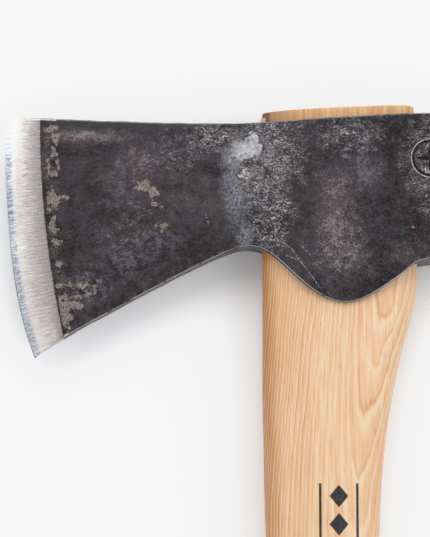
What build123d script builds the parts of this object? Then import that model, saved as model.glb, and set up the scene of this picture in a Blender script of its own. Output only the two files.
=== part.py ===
from build123d import *
import os
from math import atan2, copysign, cos, pi, radians, sin, tan

# Carving hatchet: a forged one-piece head on a hickory handle, held by a wooden wedge and a steel
# staple. Millimetres. +X runs to the poll, +Y along the handle to the top of the head, +Z up
# through the thickness. It lies on its side, and the origin is on the cheek under the eye.

# ---- Driving dimensions: head ----
HEAD_THICK = 27.0  # across the cheeks at the eye
MID = HEAD_THICK / 2  # height of the plane that halves the hatchet's thickness
HEEL = (-110.1, 22.6)  # top corner of the cutting edge
TOE = (-100.0, -57.6)  # bottom corner of the cutting edge
EDGE_BOW = [(-110.4, 14.0), (-109.2, -12.0), (-106.0, -37.0)]  # between heel and toe
BEARD = [(-92.5, -52.4), (-72.0, -40.8), (-48.0, -28.2), (-37.0, -23.1)]  # from toe to neck
NECK = (-29.4, -21.4)
LOBE = [(-22.8, -23.7), (-10.4, -35.0), (1.8, -40.1), (12.6, -35.9), (22.0, -29.2)]
POLL_FOOT = (40.0, -24.6)
POLL_TOP = (40.0, 22.2)  # the striking face is upright between these two
TOP_LINE = [(12.0, 21.3), (-16.0, 19.9), (-42.0, 19.8), (-80.0, 21.1)]  # from poll to heel
RIM_CHAMFER = 0.7  # broken edge round the head's outline
WALL_AREA = 1000.0  # every upright wall of the outline is larger than this
UPRIGHT = 0.05  # and its normal rises by less than this

# Half thickness of the cheek at stations along X, from the bit to where it is flat
CHEEK = [(-112.0, 1.8), (-80.0, 3.4), (-55.0, 4.6), (-38.0, 5.8), (-27.0, 7.9), (-15.0, 11.6)]
CHEEK_FLAT = (-3.0, 18.0)  # flat and full thickness between these X
POLL_HALF = 12.2  # half thickness at the striking face
LOBE_HALF = 11.4  # half thickness at the foot of the lobes
LOBE_FOOT = -42.0  # Y of that foot
LOBE_START = -20.0  # Y where the cheek starts to thin towards the lobe
LOBE_RUN = 2 * (LOBE_START - LOBE_FOOT)  # the thinning plane is drawn this far past both
LOBE_FALL = 2 * (MID - LOBE_HALF)

# Ground bevel, one on each side of the cutting edge
GRIND_LINE = [(-98.6, 24.0), (-98.2, 4.0), (-95.9, -26.0), (-91.6, -56.0)]  # heel to toe
GRIND_HALF = 2.5  # half thickness on that line
HONED_WIDTH = 2.3  # honed strip along the edge
HONED_HALF = 0.75  # half thickness where that strip ends
GRIND_RISE = 0.188  # slope of the ground face

# Round touchmark struck in the upper cheek, next to the poll
TOUCHMARK_X = 29.4
TOUCHMARK_Y = 7.0
TOUCHMARK_R = 6.0
TOUCHMARK_LINE = 0.7
TOUCHMARK_DEPTH = 0.4
STAR_POINT = 3.6
STAR_WAIST = 1.1

# ---- Driving dimensions: handle ----
# Every 16 mm down from the tongue: front X, rear X, thickness, fullness of the oval, front taper
STATION_TOP = 28.0
STATION_STEP = 16.0
STATIONS = [
    (-25.2, 25.0, 17.5, 2.2, 0.14),
    (-25.2, 25.0, 17.0, 2.2, 0.14),
    (-25.2, 25.2, 16.6, 2.2, 0.14),
    (-25.2, 25.6, 17.3, 2.3, 0.12),
    (-25.2, 25.7, 19.1, 2.5, 0.09),
    (-25.2, 21.3, 20.6, 2.6, 0.07),
    (-25.3, 17.7, 21.7, 2.6, 0.05),
    (-25.1, 15.0, 22.3, 2.6, 0.04),
    (-24.8, 13.5, 22.6, 2.6, 0.03),
    (-24.3, 12.7, 22.8, 2.6, 0.03),
    (-23.5, 12.2, 22.9, 2.5, 0.02),
    (-22.5, 12.2, 23.0, 2.5, 0.0),
    (-21.6, 12.8, 23.2, 2.5, 0.0),
    (-21.3, 14.0, 23.7, 2.5, 0.0),
    (-22.9, 15.5, 24.7, 2.6, 0.0),
    (-26.6, 17.3, 26.1, 2.7, 0.0),
    (-29.8, 18.8, 26.8, 2.8, 0.0),
    (-29.8, 19.2, 26.6, 2.8, 0.0),
]
SECTION_POINTS = 24
TONGUE_TOP = 24.4  # Y of the tongue's cut top, at the middle of the eye
TONGUE_SLOPE = 2.1  # degrees, rising to the poll
KNOB_END = (-5.0, -231.0)  # middle of the knob's cut end
KNOB_SLOPE = 14.0  # degrees, longer at the rear
KNOB_CHAMFER = 1.5

# ---- Driving dimensions: wedge and staple ----
WEDGE_HEAD = 30.0  # Y above the tongue, where the wedge's upper half thickness is stated
WEDGE_HEAD_HALF = 2.8
WEDGE_FOOT = -18.0
WEDGE_FOOT_HALF = 0.6
KERF_FOOT = -24.0
STAPLE_TURN = 35.0  # degrees between the staple and the wedge
STAPLE_LENGTH = 17.0
STAPLE_THICK = 1.3
STAPLE_PROUD = 0.25
STAPLE_BAR = 2.0  # depth of the bar that joins the legs
LEG_WIDE = 1.8
LEG_LONG = 13.0
LEG_POINT = 4.0

BIG = 200.0  # more than the hatchet measures in any direction from the origin
side_plane = Plane.XY.offset(MID)
end_plane = Plane(origin=(0, 0, MID), x_dir=(0, 1, 0), z_dir=(1, 0, 0))  # X on it runs along +Y


def cross_plane(y):
    """The plane across the handle at Y, with X to the right and Z up."""
    return Plane(origin=(0, y, MID), x_dir=(1, 0, 0), z_dir=(0, -1, 0))


def oval(front, rear, thick, fullness, taper):
    """Points round a superellipse section, narrowed towards its front by the taper."""
    centre = (front + rear) / 2
    half_length = (rear - front) / 2
    points = []
    for i in range(SECTION_POINTS):
        turn = 2 * pi * i / SECTION_POINTS
        along = copysign(abs(cos(turn)) ** (2 / fullness), cos(turn))
        across = copysign(abs(sin(turn)) ** (2 / fullness), sin(turn))
        points.append((centre + half_length * along, thick / 2 * across * (1 + taper * cos(turn))))
    return points


def halfway(above, below, before, after):
    """A section between two stations, by the four-point rule on each of their values."""
    return [(9 * (a + b) - c - d) / 16 for a, b, c, d in zip(above, below, before, after)]


def handle_sections():
    """(Y, section) from the tongue to the knob: every station, and one between each pair."""
    sections = []
    last = len(STATIONS) - 1
    for i, station in enumerate(STATIONS):
        y = STATION_TOP - i * STATION_STEP
        sections.append((y, station))
        if i < last:
            before = STATIONS[max(i - 1, 0)]
            after = STATIONS[min(i + 2, last)]
            middle = halfway(station, STATIONS[i + 1], before, after)
            sections.append((y - STATION_STEP / 2, middle))
    return sections


def is_wall(face):
    """Whether a face is one of the large upright ones round the head's outline."""
    return abs(face.normal_at().Z) < UPRIGHT and face.area > WALL_AREA


def is_upright(edge):
    """Whether an edge stands upright through the head's thickness."""
    size = edge.bounding_box().size
    return max(size.X, size.Y) < 1.5 * RIM_CHAMFER


def star_points():
    """Corners of the four-pointed star inside the touchmark's ring."""
    corners = []
    for i in range(8):
        radius = STAR_WAIST if i % 2 else STAR_POINT
        corners.append((radius * cos(i * pi / 4), radius * sin(i * pi / 4)))
    return corners


# ---- Handle blank: one loft, with the tongue's top and the knob's end cut off at a slant ----
tongue_cut = Plane(
    origin=(0, TONGUE_TOP, MID),
    x_dir=(0, 0, 1),
    z_dir=(-sin(radians(TONGUE_SLOPE)), cos(radians(TONGUE_SLOPE)), 0),
)
knob_cut = Plane(
    origin=(*KNOB_END, MID),
    x_dir=(0, 0, 1),
    z_dir=(-sin(radians(KNOB_SLOPE)), -cos(radians(KNOB_SLOPE)), 0),
)
with BuildPart() as blank:
    for y, station in handle_sections():
        with BuildSketch(cross_plane(y)):
            with BuildLine():
                Spline(*oval(*station), periodic=True)
            make_face()
    loft()
    split(bisect_by=tongue_cut, keep=Keep.BOTTOM)
    split(bisect_by=knob_cut, keep=Keep.BOTTOM)
    chamfer(blank.faces().sort_by(Axis.Y)[0].edges(), KNOB_CHAMFER)

# ---- Staple: a bar with three pointed legs, driven across the wedge ----
staple_turn = radians(STAPLE_TURN)
staple_plane = Plane(
    origin=(0, TONGUE_TOP + STAPLE_PROUD, MID),
    x_dir=(cos(staple_turn), 0, sin(staple_turn)),
    z_dir=(-sin(staple_turn), 0, cos(staple_turn)),
)
outer_leg = (STAPLE_LENGTH - LEG_WIDE) / 2
with BuildPart() as steel_staple:
    with BuildSketch(staple_plane):
        with Locations((0, -STAPLE_BAR / 2)):
            Rectangle(STAPLE_LENGTH, STAPLE_BAR)
        for middle in (-outer_leg, 0, outer_leg):
            with BuildLine():
                Polyline(
                    (middle - LEG_WIDE / 2, -STAPLE_BAR / 2),
                    (middle + LEG_WIDE / 2, -STAPLE_BAR / 2),
                    (middle + LEG_WIDE / 2, LEG_POINT - LEG_LONG),
                    (middle, -LEG_LONG),
                    (middle - LEG_WIDE / 2, LEG_POINT - LEG_LONG),
                    close=True,
                )
            make_face()
    extrude(amount=STAPLE_THICK / 2, both=True)
steel_staple.part.label = "steel_staple"

# ---- Wedge: fills the kerf over the whole length of the eye ----
wedge_outline = [
    (WEDGE_HEAD, WEDGE_HEAD_HALF),
    (WEDGE_FOOT, WEDGE_FOOT_HALF),
    (WEDGE_FOOT, -WEDGE_FOOT_HALF),
    (WEDGE_HEAD, -WEDGE_HEAD_HALF),
]
with BuildPart() as wooden_wedge:
    with BuildSketch(end_plane):
        with BuildLine():
            Polyline(*wedge_outline, close=True)
        make_face()
    extrude(amount=BIG, both=True)
    add(blank.part, mode=Mode.INTERSECT)
    add(steel_staple.part, mode=Mode.SUBTRACT)
wooden_wedge.part.label = "wooden_wedge"

# ---- Handle: the blank, with its kerf opened by the wedge and the staple driven in ----
with BuildPart() as handle:
    add(blank.part)
    with BuildSketch(end_plane):
        with BuildLine():
            Polyline(*wedge_outline, close=True)
        make_face()
        with Locations(((WEDGE_FOOT + KERF_FOOT) / 2, 0)):
            Rectangle(WEDGE_FOOT - KERF_FOOT, 2 * WEDGE_FOOT_HALF)
    extrude(amount=BIG, both=True, mode=Mode.SUBTRACT)
    add(steel_staple.part, mode=Mode.SUBTRACT)
handle.part.label = "handle"

# ---- Grind envelope: the room between the two ground faces of the bit ----
envelope_shift = (MID + RIM_CHAMFER - GRIND_HALF) / GRIND_RISE
with BuildPart() as grind:
    for height, shift, curve in (
        (0.0, 0.0, [HEEL, *EDGE_BOW, TOE]),
        (HONED_HALF, HONED_WIDTH, [HEEL, *EDGE_BOW, TOE]),
        (GRIND_HALF, 0.0, GRIND_LINE),
        (MID + RIM_CHAMFER, envelope_shift, GRIND_LINE),
    ):
        with BuildSketch(Plane.XY.offset(MID + height)):
            with BuildLine():
                bow = Spline(*[(x + shift, y) for x, y in curve])
                Polyline(bow @ 1, (BIG, -BIG / 2), (BIG, BIG / 2), bow @ 0)
            make_face()
    loft(ruled=True)
    mirror(about=side_plane)

# ---- Head: side, plan and end outlines in common, then the grind, the eye and the mark ----
poll_lean = atan2(MID - POLL_HALF, POLL_TOP[0] - CHEEK_FLAT[1])
touchmark_height = MID + MID - (TOUCHMARK_X - CHEEK_FLAT[1]) * tan(poll_lean)
touchmark_plane = Plane(
    origin=(TOUCHMARK_X, TOUCHMARK_Y, touchmark_height),
    x_dir=(cos(poll_lean), 0, -sin(poll_lean)),
    z_dir=(sin(poll_lean), 0, cos(poll_lean)),
)
with BuildPart() as axe_head:
    with BuildSketch(Plane.XY.offset(-RIM_CHAMFER)):
        with BuildLine():
            edge = Spline(HEEL, *EDGE_BOW, TOE)
            beard = Spline(edge @ 1, *BEARD, NECK, tangents=[(1, 0.8), (1, 0)])
            lobe = Spline(beard @ 1, *LOBE, POLL_FOOT, tangents=[(1, 0), (1, 0.1)])
            Line(lobe @ 1, POLL_TOP)
            Spline(POLL_TOP, *TOP_LINE, HEEL)
        make_face()
    extrude(amount=HEAD_THICK + 2 * RIM_CHAMFER)
    with BuildSketch(cross_plane(BIG / 2)):
        with BuildLine():
            cheek = Spline(*CHEEK, (CHEEK_FLAT[0], MID), tangents=[(1, 0.05), (1, 0)])
            Polyline(cheek @ 1, (CHEEK_FLAT[1], MID), (POLL_TOP[0], POLL_HALF))
            Line((POLL_TOP[0], POLL_HALF), (POLL_TOP[0], -POLL_HALF))
            Polyline((POLL_TOP[0], -POLL_HALF), (CHEEK_FLAT[1], -MID), (CHEEK_FLAT[0], -MID))
            mirror(cheek, about=Plane.XZ)
            Line((CHEEK[0][0], -CHEEK[0][1]), CHEEK[0])
        make_face()
    extrude(amount=BIG, mode=Mode.INTERSECT)
    with BuildSketch(Plane(origin=(-BIG, 0, MID), x_dir=(0, 1, 0), z_dir=(1, 0, 0))):
        with BuildLine():
            Polyline(
                (LOBE_FOOT - LOBE_RUN, LOBE_HALF - LOBE_FALL),
                (LOBE_START + LOBE_RUN, MID + LOBE_FALL),
                (LOBE_START + LOBE_RUN, -MID - LOBE_FALL),
                (LOBE_FOOT - LOBE_RUN, LOBE_FALL - LOBE_HALF),
                close=True,
            )
        make_face()
    extrude(amount=2 * BIG, mode=Mode.INTERSECT)
    for way in (Axis.Y, -Axis.Y, Axis.X):
        wall = axe_head.faces().filter_by(is_wall).sort_by(way)[-1]
        chamfer(wall.edges().filter_by(is_upright, reverse=True), RIM_CHAMFER)
    add(grind.part, mode=Mode.INTERSECT)
    add(blank.part, mode=Mode.SUBTRACT)
    with BuildSketch(touchmark_plane):
        Circle(TOUCHMARK_R)
        Circle(TOUCHMARK_R - TOUCHMARK_LINE, mode=Mode.SUBTRACT)
        with BuildLine():
            Polyline(*star_points(), close=True)
        make_face()
    extrude(amount=-TOUCHMARK_DEPTH, mode=Mode.SUBTRACT)
axe_head.part.label = "axe_head"

os.makedirs("parts", exist_ok=True)
for piece in (axe_head, handle, wooden_wedge, steel_staple):
    export_step(piece.part, f"parts/{piece.part.label}.step")
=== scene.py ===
from math import cos, hypot, pi, radians, sin, tan

import bmesh
import bpy
import numpy as np
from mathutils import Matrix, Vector, geometry, noise
from mathutils.bvhtree import BVHTree


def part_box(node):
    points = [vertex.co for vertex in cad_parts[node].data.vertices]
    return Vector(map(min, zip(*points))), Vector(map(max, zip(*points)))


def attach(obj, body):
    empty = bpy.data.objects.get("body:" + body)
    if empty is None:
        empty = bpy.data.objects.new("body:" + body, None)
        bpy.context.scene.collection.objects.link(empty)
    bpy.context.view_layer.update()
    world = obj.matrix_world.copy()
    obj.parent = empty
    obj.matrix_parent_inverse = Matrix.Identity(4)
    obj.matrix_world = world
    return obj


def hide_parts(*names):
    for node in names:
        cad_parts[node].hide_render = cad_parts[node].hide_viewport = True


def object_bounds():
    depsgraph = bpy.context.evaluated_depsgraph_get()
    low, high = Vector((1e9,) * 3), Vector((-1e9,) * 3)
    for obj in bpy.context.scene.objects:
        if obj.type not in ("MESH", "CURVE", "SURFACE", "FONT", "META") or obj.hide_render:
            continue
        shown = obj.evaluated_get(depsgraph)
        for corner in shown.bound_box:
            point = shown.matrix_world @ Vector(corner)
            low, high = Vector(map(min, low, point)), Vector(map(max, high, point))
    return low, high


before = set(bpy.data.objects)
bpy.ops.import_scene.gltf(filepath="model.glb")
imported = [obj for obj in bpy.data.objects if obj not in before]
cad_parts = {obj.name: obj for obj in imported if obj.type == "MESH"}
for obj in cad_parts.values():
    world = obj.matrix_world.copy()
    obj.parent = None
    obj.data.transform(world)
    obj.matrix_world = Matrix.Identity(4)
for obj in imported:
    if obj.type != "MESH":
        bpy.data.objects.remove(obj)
cad_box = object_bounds()

# A carving hatchet lying on its side: forged head, hickory handle, wooden wedge and steel staple.
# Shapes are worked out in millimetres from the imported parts, and scaled to metres when a mesh is
# made. +X runs to the poll, +Y to the top of the head, +Z up through the thickness.

MM = 0.001
HEAD_LOW, HEAD_HIGH = (np.array(corner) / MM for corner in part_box("axe_head"))
MID = (HEAD_LOW[2] + HEAD_HIGH[2]) / 2  # height of the plane that halves the thickness
UPPER_SIDE = MID + 5  # points above this height are on the side that faces up

# ---- Head ----
ROWS = 118  # grid lines from the beard to the top edge
BEVEL_COLUMNS = 22
CHEEK_COLUMNS = 272
WALL_ROWS = 12
CHAMFER = 0.5
CHAMFER_AT_GRIND = 0.7  # share of the chamfer's width that is left where the grind line meets the rim
CHAMFER_SHARE = 0.22  # the chamfer's depth is at most this share of the half thickness
# (share of the chamfer's width, share of its depth), from the cheek to the wall
CHAMFER_PROFILE = [(0.0, 0.0), (0.18, 0.06), (0.5, 0.4), (0.86, 0.8), (1.0, 1.0)]
HONED_WIDTH = 2.3  # fine strip along the cutting edge
BEVEL_CROWN = 0.12  # how far the ground face swells between its two edges
SKIN_DEPTH = 0.10  # the forged skin lies this far inside the CAD cheek on average
TOUCHMARK = (29.4, 7.0)
TOUCHMARK_R = 6.0
TOUCHMARK_DEPTH = 0.36
TOUCHMARK_REACH = 8  # nothing is struck farther than this from its middle

# ---- Handle ----
AROUND = 160  # points round a section
RING_STEP = 1.3  # between sections
TONGUE_SLOPE = tan(radians(2.1))
KNOB_SLOPE = -tan(radians(14.0))
END_ROUND = 1.7  # rounding of the knob's cut end
TONGUE_ROUND = 0.35
TONGUE_SQUARE = 0.14  # how far the rear half of the tongue's section fills out its corners
FIRST_DIAMOND = -102.5  # where the middle of the printed mark's first diamond is along Y
DIAMOND_PITCH = 9.0

# ---- Wedge and staple ----
WEDGE_FOOT = -18.0
WEDGE_FOOT_HALF = 0.6
WEDGE_HEAD = 30.0
WEDGE_HEAD_HALF = 2.8
WEDGE_RINGS = 34  # sections from its foot to its top
WEDGE_SIDE_POINTS = 40  # points along each side of a section
KERF_OVERSHOOT = 0.25  # how far the kerf's cutter passes the tongue's top
WEDGE_STICKS_OUT = 0.7  # in front of the tongue, above the head
WEDGE_TIP_DROP = 1.9  # how much lower its top is at that end

# ---- Light ----
STUDIO_LIGHT = 1.42  # how bright a matt white surface is, where 1 is display white
# (scene light, display light): whites roll off as they do on film
FILM_CURVE = [(0.0, 0.0), (0.55, 0.55), (0.72, 0.735), (0.87, 0.87), (1.15, 0.925), (3.0, 1.0)]


# ---- Mesh helpers ----
def cad_mesh(*names):
    """Vertices in millimetres, and the edges, of some CAD nodes."""
    vertices, edges, start = [], [], 0
    for name in names:
        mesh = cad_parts[name].data
        points = np.empty(len(mesh.vertices) * 3)
        mesh.vertices.foreach_get("co", points)
        pairs = np.empty(len(mesh.edges) * 2, int)
        mesh.edges.foreach_get("vertices", pairs)
        vertices.append(points.reshape(-1, 3) / MM)
        edges.append(pairs.reshape(-1, 2) + start)
        start += len(mesh.vertices)
    return np.concatenate(vertices), np.concatenate(edges)


def crossing(mesh, normal, offset):
    """Points where a mesh's edges cross the plane normal . p = offset."""
    vertices, edges = mesh
    height = vertices @ np.array(normal, float) - offset
    first, second = height[edges[:, 0]], height[edges[:, 1]]
    hit = (first < 0) != (second < 0)
    share = (first[hit] / (first[hit] - second[hit]))[:, None]
    return vertices[edges[hit, 0]] * (1 - share) + vertices[edges[hit, 1]] * share


def smooth(values, sigma, axis=0):
    """Gaussian blur along one axis of a grid, with its end values held."""
    reach = int(3 * sigma) + 1
    kernel = np.exp(-0.5 * (np.arange(-reach, reach + 1) / sigma) ** 2)
    kernel /= kernel.sum()

    def blur(line):
        return np.convolve(np.pad(line, reach, mode="edge"), kernel, "valid")

    return np.apply_along_axis(blur, axis, values)


def fade(value, low, high):
    """0 below low, 1 above high, and smooth between them."""
    share = np.clip((np.asarray(value, float) - low) / (high - low), 0, 1)
    return share * share * (3 - 2 * share)


def noise_at(points, wavelength, octaves=1, seed=0.0):
    """Perlin noise at points in millimetres, about -1 to 1."""
    total = np.zeros(len(points))
    for octave in range(octaves):
        size = wavelength / 2**octave
        shift = seed + 17.3 * octave
        total += [noise.noise(Vector(p) / size + Vector((shift, 0, shift))) / 2**octave for p in points]
    return total


def make_object(name, vertices, faces, sharp_angle=35.0):
    """A smooth-shaded object from points in millimetres. Doubled points are joined."""
    mesh = bpy.data.meshes.new(name)
    mesh.from_pydata((np.asarray(vertices) * MM).tolist(), [], faces)
    mesh.validate()
    piece = bpy.data.objects.new(name, mesh)
    bpy.context.scene.collection.objects.link(piece)
    weld = piece.modifiers.new("weld", "WELD")
    weld.merge_threshold = 1e-6
    apply_modifiers(piece)
    piece.data.shade_smooth()
    piece.data.set_sharp_from_angle(angle=radians(sharp_angle))
    return piece


def apply_modifiers(piece):
    """Replaces a piece's mesh by its evaluated one."""
    graph = bpy.context.evaluated_depsgraph_get()
    mesh = bpy.data.meshes.new_from_object(piece.evaluated_get(graph))
    piece.modifiers.clear()
    piece.data = mesh


def cut(piece, *cutters):
    """Takes the cutters' volume out of a piece."""
    for cutter in cutters:
        boolean = piece.modifiers.new("cut", "BOOLEAN")
        boolean.operation = "DIFFERENCE"
        boolean.solver = "EXACT"
        boolean.object = cutter
        apply_modifiers(piece)


def lofted(name, rings, sharp_angle=35.0):
    """A closed object through rings of the same count, with a point in the middle of each end."""
    count, around = len(rings), len(rings[0])
    vertices = np.concatenate([*rings, [rings[0].mean(0)], [rings[-1].mean(0)]])
    faces = []
    for i in range(count - 1):
        for j in range(around):
            k = (j + 1) % around
            faces.append((i * around + j, i * around + k, (i + 1) * around + k, (i + 1) * around + j))
    for j in range(around):
        k = (j + 1) % around
        faces.append((count * around, k, j))
        last = (count - 1) * around
        faces.append((count * around + 1, last + j, last + k))
    return make_object(name, vertices, faces, sharp_angle)


def store(piece, name, values):
    """Keeps a number for each of a piece's vertices, for its material to read."""
    attribute = piece.data.attributes.new(name, "FLOAT", "POINT")
    attribute.data.foreach_set("value", np.asarray(values, np.float32))


def vertex_points(piece):
    """A piece's vertices in millimetres."""
    points = np.empty(len(piece.data.vertices) * 3)
    piece.data.vertices.foreach_get("co", points)
    return points.reshape(-1, 3) / MM


def set_vertex_points(piece, points):
    piece.data.vertices.foreach_set("co", (points * MM).ravel())
    piece.data.update()


# ---- Material helpers ----
def tint(red, green, blue):
    """The surface colour that looks like a display colour, from 0 to 255, in the studio's light."""
    # Tints stay below the place where the curve bends over
    scene_light, display_light = zip(*FILM_CURVE[:-2])
    linear = []
    for value in (red, green, blue):
        share = value / 255
        seen = share / 12.92 if share <= 0.04045 else ((share + 0.055) / 1.055) ** 2.4
        linear.append(float(np.interp(seen, display_light, scene_light)) / STUDIO_LIGHT)
    return (*linear, 1.0)


class Value:
    """What comes out of a node. Arithmetic on it adds math nodes."""

    def __init__(self, nodes, socket):
        self.nodes = nodes
        self.socket = socket

    def __add__(self, other):
        return self.nodes.math("ADD", self, other)

    def __radd__(self, other):
        return self.nodes.math("ADD", other, self)

    def __sub__(self, other):
        return self.nodes.math("SUBTRACT", self, other)

    def __rsub__(self, other):
        return self.nodes.math("SUBTRACT", other, self)

    def __mul__(self, other):
        return self.nodes.math("MULTIPLY", self, other)

    def __rmul__(self, other):
        return self.nodes.math("MULTIPLY", other, self)

    def __truediv__(self, other):
        return self.nodes.math("DIVIDE", self, other)

    def __abs__(self):
        return self.nodes.math("ABSOLUTE", self)


class Nodes:
    """A node tree. Each call adds nodes and returns what comes out of them."""

    def __init__(self, tree):
        self.tree = tree

    def feed(self, socket, value):
        if isinstance(value, Value):
            self.tree.links.new(value.socket, socket)
        else:
            socket.default_value = value

    def node(self, kind, inputs, output=0, **settings):
        node = self.tree.nodes.new(kind)
        for name, value in settings.items():
            setattr(node, name, value)
        for name, value in inputs.items():
            self.feed(node.inputs[name], value)
        return Value(self, node.outputs[output])

    def math(self, operation, first, second=0.0):
        return self.node("ShaderNodeMath", {0: first, 1: second}, operation=operation)

    def vector(self, operation, first, second):
        return self.node("ShaderNodeVectorMath", {0: first, 1: second}, operation=operation)

    def split(self, vector):
        node = self.tree.nodes.new("ShaderNodeSeparateXYZ")
        self.feed(node.inputs[0], vector)
        return [Value(self, socket) for socket in node.outputs]

    def join(self, x, y, z):
        return self.node("ShaderNodeCombineXYZ", {0: x, 1: y, 2: z})

    def attribute(self, name):
        return self.node("ShaderNodeAttribute", {}, "Fac", attribute_name=name)

    def noise(self, vector, scale, detail=2.0, roughness=0.5, distortion=0.0):
        inputs = {
            "Vector": vector,
            "Scale": scale,
            "Detail": detail,
            "Roughness": roughness,
            "Distortion": distortion,
        }
        return self.node("ShaderNodeTexNoise", inputs)

    def step(self, value, low, high):
        """0 below low, 1 above high, and smooth between them."""
        inputs = {"Value": value, "From Min": low, "From Max": high}
        return self.node("ShaderNodeMapRange", inputs, interpolation_type="SMOOTHSTEP")

    def scale(self, value, low, high):
        """Value 0 to 1 made low to high."""
        return self.node("ShaderNodeMapRange", {"Value": value, "To Min": low, "To Max": high})

    def mix(self, share, first, second):
        """The first colour, with a share of the second in it."""
        return self.node("ShaderNodeMix", {0: share, 6: first, 7: second}, 2, data_type="RGBA")

    def total(self, *values):
        result = values[0]
        for value in values[1:]:
            result = result + value
        return result

    def most(self, *values):
        result = values[0]
        for value in values[1:]:
            result = self.math("MAXIMUM", result, value)
        return result


class Finish(Nodes):
    """One material, whose nodes read the place on the hatchet in millimetres."""

    def __init__(self, name):
        self.material = bpy.data.materials.new(name)
        self.material.use_nodes = True
        super().__init__(self.material.node_tree)
        self.shader = self.tree.nodes["Principled BSDF"]
        metres = self.node("ShaderNodeTexCoord", {}, "Object")
        self.place = self.vector("MULTIPLY", metres, (1 / MM,) * 3)
        self.x, self.y, self.z = self.split(self.place)
        self.torn_x = self.x + self.tear((3.0, 0.0, 5.0))
        self.torn_y = self.y + self.tear((11.0, 40.0, 2.0))

    def stretched_noise(self, scales, detail=2.0, roughness=0.5):
        """Noise with a scale for each axis: the smaller, the longer its marks are that way."""
        return self.noise(self.vector("MULTIPLY", self.place, scales), 1.0, detail, roughness)

    def tear(self, shift):
        """How far, in millimetres, noise pulls the outline of a spot out of shape."""
        place = self.vector("ADD", self.place, shift)
        wide = self.noise(place, 0.30) - 0.5
        narrow = self.noise(place, 1.1, 3.0, 0.6) - 0.5
        return 3.6 * wide + 2.4 * narrow

    def total_of(self, kind, table):
        """Some spots of a kind added up, each (x, y, x radius, y radius, weight)."""
        return self.total(*[kind(*spot) * weight for *spot, weight in table])

    def most_of(self, kind, table):
        """The highest of some spots of a kind, each (x, y, x radius, y radius, weight)."""
        return self.most(*[kind(*spot) * weight for *spot, weight in table])

    def bands(self, value, low, high):
        """1 where noise passes its middle value, and 0 well above and below it."""
        return 1 - self.step(abs(2 * value - 1), low, high)

    def spot(self, x, y, x_radius, y_radius, torn=True):
        """1 at a place in the XY plane, 0 at its outline, torn or plain, and below 0 outside."""
        across = ((self.torn_x if torn else self.x) - x) * (1 / x_radius)
        along = ((self.torn_y if torn else self.y) - y) * (1 / y_radius)
        return 1 - self.math("SQRT", across * across + along * along)

    def squarish_spot(self, x, y, x_radius, y_radius):
        """Like a plain spot, with an outline between an ellipse and a rectangle."""
        across, along = (self.x - x) * (1 / x_radius), (self.y - y) * (1 / y_radius)
        across, along = across * across, along * along
        return 1 - self.math("POWER", across * across + along * along, 0.25)

    def soft_spot(self, *place_and_radii):
        """1 at a place in the XY plane, fading to 0 at its torn outline."""
        return self.step(self.spot(*place_and_radii), 0.0, 1.0)

    def line(self, start_x, start_y, end_x, end_y, width):
        """1 on a straight line in the XY plane, and 0 from width away."""
        length = hypot(end_x - start_x, end_y - start_y)
        ux, uy = (end_x - start_x) / length, (end_y - start_y) / length
        along = (self.x - start_x) * ux + (self.y - start_y) * uy
        kept = self.math("MINIMUM", self.math("MAXIMUM", along, 0.0), length)
        dx = self.x - (kept * ux + start_x)
        dy = self.y - (kept * uy + start_y)
        gap = self.math("SQRT", dx * dx + dy * dy)
        return 1 - self.step(gap, 0.0, width)

    def finish(self, colour, roughness, metallic=0.0, height=None):
        """Connects the shader. The height is in millimetres."""
        self.feed(self.shader.inputs["Base Color"], colour)
        self.feed(self.shader.inputs["Roughness"], roughness)
        self.feed(self.shader.inputs["Metallic"], metallic)
        if height is not None:
            bump = self.node("ShaderNodeBump", {"Height": height, "Distance": MM, "Strength": 1.0})
            self.feed(self.shader.inputs["Normal"], bump)
        return self.material


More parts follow.
